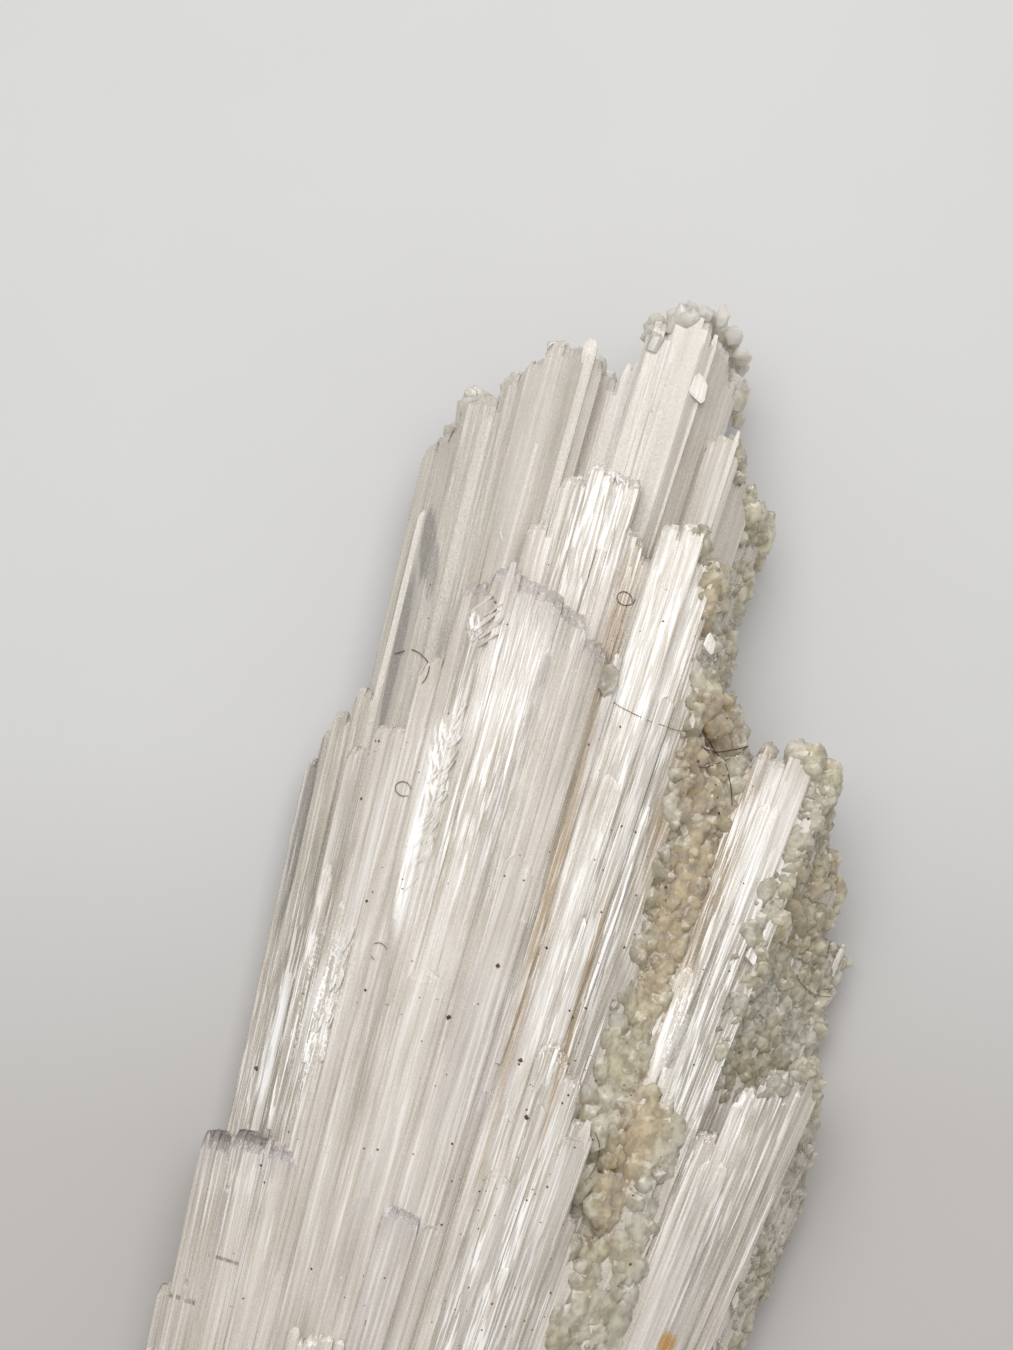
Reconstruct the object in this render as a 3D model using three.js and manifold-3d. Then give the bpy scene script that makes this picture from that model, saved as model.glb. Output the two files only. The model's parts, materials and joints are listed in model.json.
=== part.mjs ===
// A scolecite crystal group: a sheaf of flat, lengthwise-striated crystals that grew together side by side
// and fan out from a broken root to stepped, blunt tips, with a crust of small clear crystals on the right.
// Millimetres, +Z up. It lies on the flat faces of its lowest crystals. X is across it, +Y runs to the tips.
import * as THREE from "three";
import { mergeVertices } from "three/addons/utils/BufferGeometryUtils.js";
import Module from "manifold-3d";

const wasm = await Module();
wasm.setup();

// The fan: every crystal's edges run through one point on the ground, FAN_REACH behind the sheaf's middle.
// Places are given as [across, y, height]: across and height are those at the middle of the sheaf, y is true.
const FAN_REACH = 80;
const FAN_X = -2.94;

// The broken root end, and how much shorter than the longest lath the others may be broken there.
const ROOT_Y = -24.3;
const ROOT_STEP = 2.4;
const ROOT_RAGGED = 0.3;

// The laths that make up a crystal: how far neighbours run into each other and differ in height and length,
// how far their upper edges are dropped, and the bevel round their ends.
const LATH_OVERLAP = 0.12;
const LATH_STEP = [-0.1, 0.1];
const LATH_RAGGED = [-0.35, 0.25];
const UNDERSIDE_STEP = [0.1, 0.45];
const UNDERSIDE_FLAT_SHARE = 0.4;
const EDGE_DROP = [0.03, 0.22];
const TOP_FACET = [0.2, 0.45];
const END_LEAN = [-0.12, 0.25];
const END_BEVEL = 0.3;

// A crust crystal: its length and point over its width, the share that is buried, and how its width varies.
const SPIKE_LENGTH = [1.6, 2.3];
const SPIKE_BURIED = 0.45;
const SPIKE_POINT = 0.35;
const SPIKE_WIDTH = [0.65, 1.35];
const FOUR_SIDED_SHARE = 0.8;

// The slivers that are dropped once all is joined, and the gap left where two edges would touch.
const SLIVER = 0.07;
const EDGE_GAP = 0.01;

// The crystals, each a plate of several laths. across: its two sides. low: its underside.
// top and tip: the height of its upper face and where it ends, from the left side to the right.
const CRYSTALS = [
  // the longest ones, lowest and furthest out
  { across: [-4.4, -3.5], low: 0, top: [2.7, 3.9], tip: [17.9, 18.3, 18.8], laths: 2 },
  { across: [-3.6, -2.2], low: 0, top: [4.2, 4.5], tip: [19.2, 19.9, 20.4], laths: 2 },
  { across: [-2.4, -0.8], low: 0.2, top: [4.7, 5.1, 4.7], tip: [20.7, 21.7, 21.7, 21.0], laths: 3 },
  { across: [-0.9, 0.3], low: 0, top: [3.9, 4.1], tip: [21.0, 21.1, 21.6], laths: 2 },
  { across: [0.2, 2.4], low: 0, top: [4.7, 4.9, 3.7], tip: [22.0, 23.6, 23.8, 23.3, 22.3], laths: 4 },
  { across: [2.3, 4.1], low: 0, top: [4.7, 4.3, 2.6], tip: [20.5, 19.4, 19.0, 18.2], laths: 3 },
  { across: [4.0, 5.0], low: 0, top: [3.3, 2.3], tip: [15.0, 13.2, 11.8], laths: 2 },
  // the slim ones down the left edge
  { across: [-5.7, -4.2], low: 0, top: [1.8, 2.8, 3.1], tip: [7.2, 8.8, 9.8, 10.8], laths: 4 },
  { across: [-6.8, -5.7], low: 0, top: [2.0, 2.9], tip: [-8.5, -7.9], laths: 2 },
  { across: [-6.2, -3.1], low: 0.8, top: [4.3, 5.1, 5.3], tip: [-4.0, -3.6, -3.4, -3.5], laths: 3 },
  // the middle storey
  { across: [-4.5, -2.2], low: 2.2, top: [3.8, 5.2, 5.7], tip: [8.0, 9.6, 12.2], laths: 3 },
  { across: [-1.3, 0.9], low: 2.4, top: [5.9, 6.3, 6.1], tip: [15.6, 17.3, 18.1, 17.7], laths: 4 },
  { across: [0.8, 2.2], low: 2.4, top: [5.8, 5.7], tip: [16.6, 15.9, 16.4], laths: 2 },
  // the top storey: two broad plates with a groove between them
  {
    across: [-2.4, 1.8],
    low: 3,
    top: [6.5, 7.1, 7.3, 7.2, 6.8],
    tip: [13.5, 14.4, 14.6, 14.0, 13.8, 13.3, 12.7, 12.1],
    laths: 7,
  },
  { across: [2.0, 4.2], low: 2.4, top: [6.6, 6.7, 6.3, 5.8], tip: [16.7, 17.0, 16.2, 14.0, 10.8], laths: 5 },
  { across: [4.1, 5.0], low: 2.6, top: [5.8, 5.2], tip: [7.4, 5.6, 3.4], laths: 2 },
  { across: [2.9, 5.0], low: 3, top: [7.0, 6.9, 6.4], tip: [1.9, 1.2, 0.2, -0.9], laths: 3 },
  { across: [4.6, 6.3], low: 2.6, top: [6.1, 5.3], tip: [-2.3, -3.3, -5.0], laths: 2 },
  { across: [-0.1, 0.9], low: 6, top: [7.5, 7.55], tip: [-3.8, -4.0], laths: 1 },
  { across: [-1.9, -0.3], low: 6, top: [7.4, 7.6], tip: [-8.9, -7.9], laths: 2 },
  // the floor of the valley between the sheaf and its right-hand branch
  { across: [4.2, 5.7], low: 0, top: [4.3, 3.9], tip: [12.2, 10.0, 7.6], laths: 2 },
  { across: [5.4, 7.2], low: 0.2, top: [4.4, 4.1], tip: [6.0, 3.4, 1.2], laths: 2 },
  { across: [6.0, 8.2], low: 0, top: [4.7, 4.2], tip: [0.0, -0.9, -2.0], laths: 3 },
  // the right-hand branch, upper bundle
  { across: [5.4, 7.8], low: 0, top: [4.7, 5.3, 4.9], tip: [10.8, 11.3, 11.5, 11.3], laths: 5 },
  { across: [7.6, 10.1], low: 0, top: [4.4, 3.1, 1.5], tip: [10.8, 10.0, 8.6, 7.4, 5.4], laths: 4 },
  // the right-hand branch, lower bundle
  { across: [7.4, 10.7], low: 0.2, top: [4.5, 5.3, 5.2, 4.5], tip: [-1.6, 0.2, 1.9, 2.9, 3.0], laths: 5 },
  { across: [10.5, 11.8], low: 0, top: [3.9, 1.9], tip: [2.7, 1.7, 0.3, -1.4], laths: 3 },
];

// The crust: small clear crystals that stand between two lines, shared out over a number of rows.
// reach is how far they splay to the right and lift how far they rise, for every 1 that they run to the tips.
const CRUST = [
  {
    // the worn ends of the left-hand crystals
    inner: [
      [-4.2, 18.0, 2.6],
      [-3.3, 19.4, 3.8],
      [-2.4, 20.9, 4.3],
      [-1.6, 21.9, 4.7],
      [-0.8, 21.3, 4.0],
      [0.2, 21.7, 3.8],
    ],
    outer: [
      [-4.1, 18.0, 0.8],
      [-3.2, 19.3, 1.2],
      [-2.3, 20.8, 1.4],
      [-1.6, 21.8, 1.4],
      [-0.7, 21.2, 1.3],
      [0.2, 21.7, 1.2],
    ],
    rows: 1,
    count: 14,
    size: 0.6,
    reach: [-0.3, 0.3],
    lift: [-0.1, 0.5],
  },
  {
    // the furthest tip and its right-hand edge
    inner: [
      [0.4, 22.5, 4.6],
      [1.4, 23.7, 4.7],
      [2.2, 23.2, 4.0],
      [2.5, 21.4, 3.9],
    ],
    outer: [
      [0.5, 22.4, 1.8],
      [1.6, 23.6, 1.6],
      [2.6, 22.9, 1.5],
      [2.8, 21.2, 1.6],
    ],
    rows: 2,
    count: 18,
    size: 0.65,
    reach: [-0.1, 0.8],
    lift: [-0.1, 0.7],
  },
  {
    // the ledge below it
    inner: [
      [2.8, 20.2, 4.5],
      [3.5, 19.4, 4.6],
      [3.9, 18.2, 3.8],
      [4.1, 15.4, 3.8],
      [4.6, 13.0, 3.8],
    ],
    outer: [
      [2.9, 20.2, 2.0],
      [3.9, 19.0, 1.8],
      [4.3, 17.8, 1.4],
      [4.4, 15.0, 1.4],
      [5.1, 12.4, 1.4],
    ],
    rows: 2,
    count: 26,
    size: 0.65,
    reach: [0.1, 0.9],
    lift: [0, 0.7],
  },
  {
    // the valley
    inner: [
      [3.0, 16.0, 5.8],
      [3.7, 13.0, 5.9],
      [4.1, 9.9, 5.6],
      [4.6, 6.6, 5.4],
      [5.0, 3.6, 5.3],
      [5.9, -1.4, 5.5],
      [6.4, -8.0, 5.2],
    ],
    outer: [
      [4.2, 14.0, 3.9],
      [5.0, 12.0, 4.3],
      [5.6, 9.4, 4.5],
      [6.2, 5.8, 4.6],
      [6.9, 2.2, 4.7],
      [7.9, -1.4, 4.9],
      [7.6, -7.6, 4.7],
    ],
    rows: 3,
    count: 69,
    size: 0.85,
    reach: [-0.1, 0.7],
    lift: [0.2, 1.1],
  },
  {
    // the right-hand flank of the upper bundle
    inner: [
      [6.0, 11.4, 4.8],
      [7.2, 11.0, 5.0],
      [7.6, 9.2, 4.9],
      [7.6, 7.2, 4.9],
      [7.8, 5.2, 4.7],
      [8.2, 4.0, 4.3],
    ],
    outer: [
      [7.0, 11.7, 3.2],
      [9.0, 10.2, 2.4],
      [10.0, 8.2, 1.6],
      [10.3, 6.2, 1.2],
      [10.4, 5.0, 1.2],
      [10.5, 3.9, 1.2],
    ],
    rows: 4,
    count: 48,
    size: 0.9,
    reach: [0.3, 1.1],
    lift: [0.1, 1.1],
  },
  {
    // the right-hand edge of the lower bundle
    inner: [
      [8.4, 1.3, 4.9],
      [9.5, 2.9, 5.0],
      [10.5, 2.7, 4.6],
      [11.1, 0.4, 3.9],
      [11.1, -4.0, 3.7],
      [11.2, -10.0, 3.3],
    ],
    outer: [
      [9.0, 2.0, 3.0],
      [10.3, 3.2, 2.6],
      [11.5, 1.8, 1.8],
      [11.9, -0.8, 1.2],
      [11.9, -5.0, 1.2],
      [11.9, -10.0, 1.2],
    ],
    rows: 2,
    count: 30,
    size: 0.7,
    reach: [0.2, 1.0],
    lift: [0, 0.8],
  },
];

// A repeatable stream of numbers from 0 to 1.
function numberStream(seed) {
  let state = seed;
  return () => {
    state = (state * 1664525 + 1013904223) % 4294967296;
    return state / 4294967296;
  };
}
const draw = numberStream(11);
const mix = (a, b, share) => a + (b - a) * share;
const between = (low, high) => mix(low, high, draw());

// The value a share of the way along a list of evenly spaced values.
function profile(values, share) {
  const place = Math.min(Math.max(share, 0), 1) * (values.length - 1);
  const before = Math.min(Math.floor(place), values.length - 2);
  return mix(values[before], values[before + 1], place - before);
}

// From a place given at the sheaf's middle to the fanned sheaf.
function fanned([across, y, height]) {
  const spread = 1 + y / FAN_REACH;
  return [FAN_X + across * spread, y, height * spread];
}

// A closed solid from rings of places, each seen anticlockwise from the root, and a point beyond either end.
function loft(rings, rootPoint, tipPoint) {
  const size = rings[0].length;
  const rootIndex = rings.length * size;
  const faces = [];
  for (let i = 0; i < size; i++) {
    const next = (i + 1) % size;
    faces.push(rootIndex, i, next);
    for (let here = 0; here < rootIndex - size; here += size) {
      const there = here + size;
      faces.push(here + i, there + next, here + next);
      faces.push(here + i, there + i, there + next);
    }
    faces.push(rootIndex - size + i, rootIndex + 1, rootIndex - size + next);
  }
  const positions = [...rings.flat(), rootPoint, tipPoint].flatMap(fanned);
  const geometry = new THREE.BufferGeometry();
  geometry.setAttribute("position", new THREE.Float32BufferAttribute(positions, 3));
  geometry.setIndex(faces);
  return geometry;
}

// One lath of a crystal: a flat underside, a three-faced top, a broken root and an oblique, bevelled end.
function lath({ sides, low, top, tip }) {
  const [left, right] = sides;
  const width = right - left;
  const facet = width * between(...TOP_FACET);
  const section = [
    [left, top[0] - between(...EDGE_DROP)],
    [left, low],
    [right, low],
    [right, top[1] - between(...EDGE_DROP)],
    [right - facet, mix(top[0], top[1], 1 - facet / width)],
    [left + facet / 2, top[0]],
  ];
  const middle = (left + right) / 2;
  const thickness = top[0] - low;
  const middleHeight = low + thickness / 2;
  const bevel = Math.min(END_BEVEL, width * END_BEVEL);
  const lean = between(...END_LEAN);
  const endAt = (height) => tip - lean * (top[0] - height);
  const rootY = ROOT_Y + between(0, ROOT_STEP);
  const root = section.map(([a, h]) => [a, rootY + between(0, ROOT_RAGGED), h]);
  const shoulder = section.map(([a, h]) => [a, endAt(h) - bevel * between(0.7, 1.4), h]);
  const crown = section.map(([a, h]) => {
    const height = mix(h, middleHeight, (2 * bevel) / thickness);
    return [mix(a, middle, (2 * bevel) / width), endAt(height), height];
  });
  const rootPoint = [middle, rootY - EDGE_GAP, middleHeight];
  const peak = [middle, endAt(middleHeight) + EDGE_GAP, middleHeight];
  return loft([root, shoulder, crown], rootPoint, peak);
}

// The laths of one crystal, of uneven widths, heights and lengths.
function crystal({ across, low, top, tip, laths }) {
  const widths = Array.from({ length: laths }, () => between(0.5, 1.5));
  const total = widths.reduce((sum, width) => sum + width, 0);
  let reached = 0;
  return widths.map((width) => {
    const shares = [reached / total, (reached + width) / total];
    reached += width;
    const step = between(...LATH_STEP);
    const raised = draw() < UNDERSIDE_FLAT_SHARE ? 0 : between(...UNDERSIDE_STEP);
    return lath({
      sides: [mix(...across, shares[0]) - LATH_OVERLAP, mix(...across, shares[1]) + LATH_OVERLAP],
      low: low + raised,
      top: shares.map((share) => profile(top, share) + step),
      tip: profile(tip, (shares[0] + shares[1]) / 2) + between(...LATH_RAGGED),
    });
  });
}

// A small crystal with a blunt point, from its buried foot in the given direction.
function spike({ foot, direction, length, width, sides, turn }) {
  const along = direction.clone().normalize();
  const side = new THREE.Vector3(0, 0, 1).cross(along).normalize();
  const up = along.clone().cross(side);
  const at = (distance) => foot.clone().addScaledVector(along, distance);
  const ring = (distance, radius) =>
    Array.from({ length: sides }, (_, i) => {
      const angle = turn - (2 * Math.PI * i) / sides;
      return at(distance)
        .addScaledVector(side, Math.cos(angle) * radius)
        .addScaledVector(up, Math.sin(angle) * radius)
        .toArray();
    });
  const rings = [ring(0, width * 0.4), ring(length - width * SPIKE_POINT, width * 0.5)];
  return loft(rings, at(-EDGE_GAP).toArray(), at(length).toArray());
}

const curveThrough = (line) => new THREE.CatmullRomCurve3(line.map((place) => new THREE.Vector3(...place)));

// The small crystals of one strip of crust, row by row from its inner line to its outer one.
function crust({ inner, outer, rows, count, size, reach, lift }) {
  const innerLine = curveThrough(inner);
  const outerLine = curveThrough(outer);
  const perRow = Math.round(count / rows);
  return Array.from({ length: perRow * rows }, (_, i) => {
    const row = Math.floor(i / perRow);
    const along = ((i % perRow) + between(0.1, 0.9)) / perRow;
    const out = rows > 1 ? (row + between(0.1, 0.9)) / rows : 0.3;
    const width = size * between(...SPIKE_WIDTH);
    const length = width * between(...SPIKE_LENGTH);
    const direction = new THREE.Vector3(between(...reach), 1, between(...lift));
    const place = innerLine.getPoint(along).lerp(outerLine.getPoint(along), out);
    return spike({
      foot: place.addScaledVector(direction.clone().normalize(), -length * SPIKE_BURIED),
      direction,
      length,
      width,
      sides: draw() < FOUR_SIDED_SHARE ? 4 : 5,
      turn: between(0, Math.PI),
    });
  });
}

function solidOf(geometry) {
  const merged = mergeVertices(geometry, 1e-4);
  return new wasm.Manifold(
    new wasm.Mesh({
      numProp: 3,
      vertProperties: merged.attributes.position.array,
      triVerts: new Uint32Array(merged.index.array),
    }),
  );
}

// One solid from all the crystals, without the slivers and the pinholes that are left where they meet.
function joined(geometries) {
  const union = wasm.Manifold.union(geometries.map(solidOf));
  const bodies = union.asOriginal().simplify(SLIVER).decompose();
  return bodies.sort((a, b) => b.volume() - a.volume())[0];
}

// Where two edges of the surface lie on each other, draws each of their points in towards its own faces.
function partEdges(positions, faces) {
  const pointAt = (i) => new THREE.Vector3().fromArray(positions, 3 * i);
  const meeting = new Map();
  for (let i = 0; i < positions.length / 3; i++) {
    const place = pointAt(i).toArray().map((value) => value.toFixed(3)).join();
    meeting.set(place, [...(meeting.get(place) ?? []), i]);
  }
  const shared = new Set([...meeting.values()].filter((points) => points.length > 1).flat());
  for (const i of shared) {
    const centre = new THREE.Vector3();
    let count = 0;
    for (let corner = 0; corner < faces.length; corner++) {
      if (faces[corner] !== i) continue;
      const face = corner - (corner % 3);
      [0, 1, 2].forEach((offset) => centre.add(pointAt(faces[face + offset])));
      count += 3;
    }
    const place = pointAt(i);
    const gap = centre.divideScalar(count).sub(place).setLength(EDGE_GAP);
    place.add(gap).toArray(positions, 3 * i);
  }
}

function geometryOf(solid) {
  const mesh = solid.getMesh();
  partEdges(mesh.vertProperties, mesh.triVerts);
  const geometry = new THREE.BufferGeometry();
  geometry.setAttribute("position", new THREE.Float32BufferAttribute(mesh.vertProperties, 3));
  geometry.setIndex(new THREE.Uint32BufferAttribute(mesh.triVerts, 1));
  geometry.computeVertexNormals();
  return geometry;
}

const scolecite = new THREE.MeshStandardMaterial({
  color: 0xd6cec2,
  roughness: 0.22,
  metalness: 0,
  transparent: true,
  opacity: 0.85,
});
const sheaf = new THREE.Mesh(
  geometryOf(joined([...CRYSTALS.flatMap(crystal), ...CRUST.flatMap(crust)])),
  scolecite,
);
sheaf.name = "scolecite_crystals";

const group = new THREE.Group();
group.name = "scolecite_group";
group.add(sheaf);

export default group;
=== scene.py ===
# Scolecite crystals: striated blades grown together in a fanned sheaf, with small clear ones on the right.
# Everything is laid out in mm as it would be at the middle of the sheaf, then fanned and brought to metres.
import json
import math
import random
import bpy
from mathutils import Matrix, Vector
from mathutils.bvhtree import BVHTree

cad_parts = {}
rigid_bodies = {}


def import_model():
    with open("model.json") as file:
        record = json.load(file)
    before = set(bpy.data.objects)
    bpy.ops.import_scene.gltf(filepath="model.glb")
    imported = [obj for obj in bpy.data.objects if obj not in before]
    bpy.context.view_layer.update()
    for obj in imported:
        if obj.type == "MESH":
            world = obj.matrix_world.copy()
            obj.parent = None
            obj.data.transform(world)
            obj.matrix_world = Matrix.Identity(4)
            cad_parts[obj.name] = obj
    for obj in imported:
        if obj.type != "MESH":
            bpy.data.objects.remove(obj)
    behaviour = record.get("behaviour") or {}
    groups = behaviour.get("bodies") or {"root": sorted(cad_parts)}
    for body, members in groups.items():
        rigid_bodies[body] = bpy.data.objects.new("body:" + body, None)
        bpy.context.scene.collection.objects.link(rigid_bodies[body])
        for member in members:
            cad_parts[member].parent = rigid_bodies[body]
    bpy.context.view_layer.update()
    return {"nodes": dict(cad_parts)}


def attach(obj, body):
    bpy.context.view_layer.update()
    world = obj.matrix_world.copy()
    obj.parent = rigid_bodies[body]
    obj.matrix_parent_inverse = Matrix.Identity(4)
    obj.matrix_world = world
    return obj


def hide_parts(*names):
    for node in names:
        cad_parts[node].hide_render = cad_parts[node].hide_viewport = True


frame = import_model()
print("frame loaded:", ", ".join(frame["nodes"]))

mm = 0.001

# the camera looks down on the sheaf, a little from the side of its root
view = {
    "aim": (-4.1, 11.6, 4.0),  # mm
    "distance": 100,  # mm
    "fieldHeight": 40.5,  # mm seen from bottom to top
    "lean": 16,  # degrees that the sheaf is turned clockwise in the view
    "tilt": 8,  # degrees off straight down, towards the root
}


def makeCamera():
    lean = math.radians(view["lean"])
    tilt = math.radians(view["tilt"])
    viewUp = Vector((-math.sin(lean), math.cos(lean), 0))
    viewRight = Vector((math.cos(lean), math.sin(lean), 0))
    skyward = Vector((0, 0, 1))
    away = skyward * math.cos(tilt) - viewUp * math.sin(tilt)
    top = viewUp * math.cos(tilt) + skyward * math.sin(tilt)
    camera = bpy.data.objects.new("camera", bpy.data.cameras.new("camera"))
    camera.matrix_world = Matrix((viewRight, top, away)).transposed().to_4x4()
    camera.location = (Vector(view["aim"]) + away * view["distance"]) * mm
    camera.data.sensor_fit = "VERTICAL"
    camera.data.angle = 2 * math.atan(view["fieldHeight"] / 2 / view["distance"])
    camera.data.clip_start = 0.005
    camera.data.clip_end = 10
    bpy.context.scene.collection.objects.link(camera)
    bpy.context.scene.camera = camera


makeCamera()
print("camera set")

# how the sheaf fans out; sizes in mm
fan = {
    "reach": 80,  # from the middle of the sheaf back to the point where all the edges would meet
    "x": -2.94,  # where its middle line stands
    "root": -24.3,  # y of the broken end
    "rootStep": 2.4,  # how unevenly it is broken
}


def fanned(place):
    across, y, height = place
    spread = 1 + y / fan["reach"]
    return Vector(((fan["x"] + across * spread) * mm, y * mm, height * spread * mm))


def unfanned(point):
    y = point.y / mm
    spread = 1 + y / fan["reach"]
    return ((point.x / mm - fan["x"]) / spread, y, point.z / mm / spread)


def mix(a, b, share):
    return a + (b - a) * share


def profile(values, share):
    place = min(max(share, 0), 1) * (len(values) - 1)
    before = min(int(place), len(values) - 2)
    return mix(values[before], values[before + 1], place - before)


def middleOf(places):
    return tuple(sum(place[axis] for place in places) / len(places) for axis in range(3))


bench = bpy.data.collections.new("bench")
bpy.context.scene.collection.children.link(bench)


def addShell(rings, tips, dice=None, marks=None, ends=None):
    # one closed shell of laid-out rings, put on the bench; tips says how near the tip each ring is,
    # and marks are values that hold for the whole shell
    size = len(rings[0])
    places = [p for ring in rings for p in ring]
    places += ends or [middleOf(rings[0]), middleOf(rings[-1])]
    first = len(rings) * size
    last = first - size
    faces = []
    faceTones = []
    for i in range(size):
        j = (i + 1) % size
        faces.append((first, i, j))
        for here in range(0, last, size):
            faces.append((here + i, here + size + i, here + size + j, here + j))
        faces.append((last + i, first + 1, last + j))
        faceTones += [dice.random() if dice else 0.5] * (len(rings) + 1)
    mesh = bpy.data.meshes.new("shell")
    mesh.from_pydata([fanned((across, y, max(height, 0.003))) for across, y, height in places], [], faces)
    tone = mesh.attributes.new("tone", "FLOAT", "FACE")
    tone.data.foreach_set("value", faceTones)
    tip = mesh.attributes.new("tip", "FLOAT", "POINT")
    tip.data.foreach_set("value", [t for t in tips for _ in range(size)] + [tips[0], tips[-1]])
    for name, value in (marks or {}).items():
        mark = mesh.attributes.new(name, "FLOAT", "FACE")
        mark.data.foreach_set("value", [value] * len(faces))
    bench.objects.link(bpy.data.objects.new("shell", mesh))


def fuseBench(name):
    # everything on the bench becomes one closed mesh without inner walls
    shells = list(bench.objects)
    base = shells[0]
    bench.objects.unlink(base)
    bpy.context.scene.collection.objects.link(base)
    fusing = base.modifiers.new("fusing", "BOOLEAN")
    fusing.operation = "UNION"
    fusing.solver = "MANIFOLD"
    fusing.operand_type = "COLLECTION"
    fusing.collection = bench
    made = bpy.data.meshes.new_from_object(base.evaluated_get(bpy.context.evaluated_depsgraph_get()))
    for shell in shells:
        mesh = shell.data
        bpy.data.objects.remove(shell)
        bpy.data.meshes.remove(mesh)
    made.name = name
    return made


def finishPiece(mesh, name, material):
    laid = mesh.attributes.new("laid", "FLOAT_VECTOR", "POINT")
    laid.data.foreach_set("vector", [v for vertex in mesh.vertices for v in unfanned(vertex.co)])
    mesh.materials.clear()
    mesh.materials.append(material)
    mesh.polygons.foreach_set("material_index", [0] * len(mesh.polygons))
    piece = bpy.data.objects.new(name, mesh)
    bpy.context.scene.collection.objects.link(piece)
    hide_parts("scolecite_crystals")
    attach(piece, "root")
    mesh.calc_loop_triangles()
    print(name, "triangles:", len(mesh.loop_triangles))
    return piece


def nodesOf(name):
    material = bpy.data.materials.new(name)
    material.use_nodes = True
    tree = material.node_tree
    return material, tree, tree.nodes["Principled BSDF"]


def addNode(tree, kind, **settings):
    node = tree.nodes.new(kind)
    for key, value in settings.items():
        if key.startswith("in_"):
            node.inputs[key[3:].replace("_", " ")].default_value = value
        else:
            setattr(node, key, value)
    return node


def plug(tree, sockets, values):
    for socket, value in zip(sockets, values):
        if isinstance(value, bpy.types.NodeSocket):
            tree.links.new(value, socket)
        elif socket.type == "RGBA":
            socket.default_value = (*value, 1)
        else:
            socket.default_value = value


def vectorMath(tree, operation, *values, output="Vector"):
    node = addNode(tree, "ShaderNodeVectorMath", operation=operation)
    plug(tree, node.inputs, values)
    return node.outputs[output]


def combine(tree, operation, a, b):
    node = addNode(tree, "ShaderNodeMath", operation=operation)
    plug(tree, node.inputs, (a, b))
    return node.outputs["Value"]


def times(tree, a, b):
    return combine(tree, "MULTIPLY", a, b)


def larger(tree, a, b):
    return combine(tree, "MAXIMUM", a, b)


def mixColors(tree, share, a, b):
    node = addNode(tree, "ShaderNodeMix", data_type="RGBA")
    plug(tree, [s for s in node.inputs if s.enabled], (share, a, b))
    return [s for s in node.outputs if s.enabled][0]


def remap(tree, value, low, high, newLow, newHigh):
    node = addNode(tree, "ShaderNodeMapRange")
    names = ("Value", "From Min", "From Max", "To Min", "To Max")
    plug(tree, [node.inputs[name] for name in names], (value, low, high, newLow, newHigh))
    return node.outputs["Result"]


def ramp(tree, value, stops):
    node = addNode(tree, "ShaderNodeValToRGB")
    elements = node.color_ramp.elements
    while len(elements) < len(stops):
        elements.new(0.5)
    for element, (position, color) in zip(elements, stops):
        element.position = position
        element.color = (*color, 1)
    tree.links.new(value, node.inputs["Fac"])
    return node.outputs["Color"]


def placed(tree, place, kind="POINT", center=(0, 0, 0), tilt=0, size=(1, 1, 1)):
    node = addNode(tree, "ShaderNodeMapping", vector_type=kind)
    node.inputs["Location"].default_value = center
    node.inputs["Rotation"].default_value = (0, 0, math.radians(tilt))
    node.inputs["Scale"].default_value = size
    tree.links.new(place, node.inputs["Vector"])
    return node.outputs["Vector"]


def streaks(tree, laid, scale, seed, detail):
    # noise stretched along the crystals
    stretched = vectorMath(tree, "MULTIPLY_ADD", laid, scale, (seed, seed * 0.7, -seed))
    noise = addNode(tree, "ShaderNodeTexNoise", in_Scale=1.0, in_Detail=detail, in_Roughness=0.6)
    tree.links.new(stretched, noise.inputs["Vector"])
    return noise.outputs["Fac"]


def patches(tree, laid, wobble, places):
    # 1 inside any of some ovals on the laid-out crystals, fading to 0 past their wobbly rims
    nearest = None
    for center, reach, tilt in places:
        if tilt:
            scaled = placed(tree, laid, "TEXTURE", center, tilt, reach)
        else:
            middle = tuple(-c / r for c, r in zip(center, reach))
            scaled = vectorMath(tree, "MULTIPLY_ADD", laid, tuple(1 / r for r in reach), middle)
        length = vectorMath(tree, "LENGTH", scaled, output="Value")
        nearest = length if nearest is None else combine(tree, "MINIMUM", nearest, length)
    return remap(tree, combine(tree, "ADD", nearest, wobble), 0.55, 1.15, 1, 0)


def layered(tree, color, layers):
    for share, over in layers:
        color = mixColors(tree, share, color, over)
    return color


def wobbled(tree, noise, size):
    return times(tree, combine(tree, "SUBTRACT", noise, 0.5), size)


def readAttribute(tree, name, output="Fac"):
    return addNode(tree, "ShaderNodeAttribute", attribute_name=name).outputs[output]


def addSurface(tree, shader, color, passing, dull, ior):
    names = ("Base Color", "Transmission Weight", "Roughness", "IOR")
    plug(tree, [shader.inputs[name] for name in names], (color, passing, dull, ior))


def addBump(tree, shader, height, strength, distance):
    bump = addNode(tree, "ShaderNodeBump", in_Distance=distance)
    plug(tree, [bump.inputs["Strength"], bump.inputs["Height"]], (strength, height))
    tree.links.new(bump.outputs["Normal"], shader.inputs["Normal"])


def addAbsorption(tree, color, density):
    volume = addNode(tree, "ShaderNodeVolumeAbsorption")
    volume.inputs["Color"].default_value = (*color, 1)
    volume.inputs["Density"].default_value = density
    tree.links.new(volume.outputs["Volume"], tree.nodes["Material Output"].inputs["Volume"])


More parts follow.
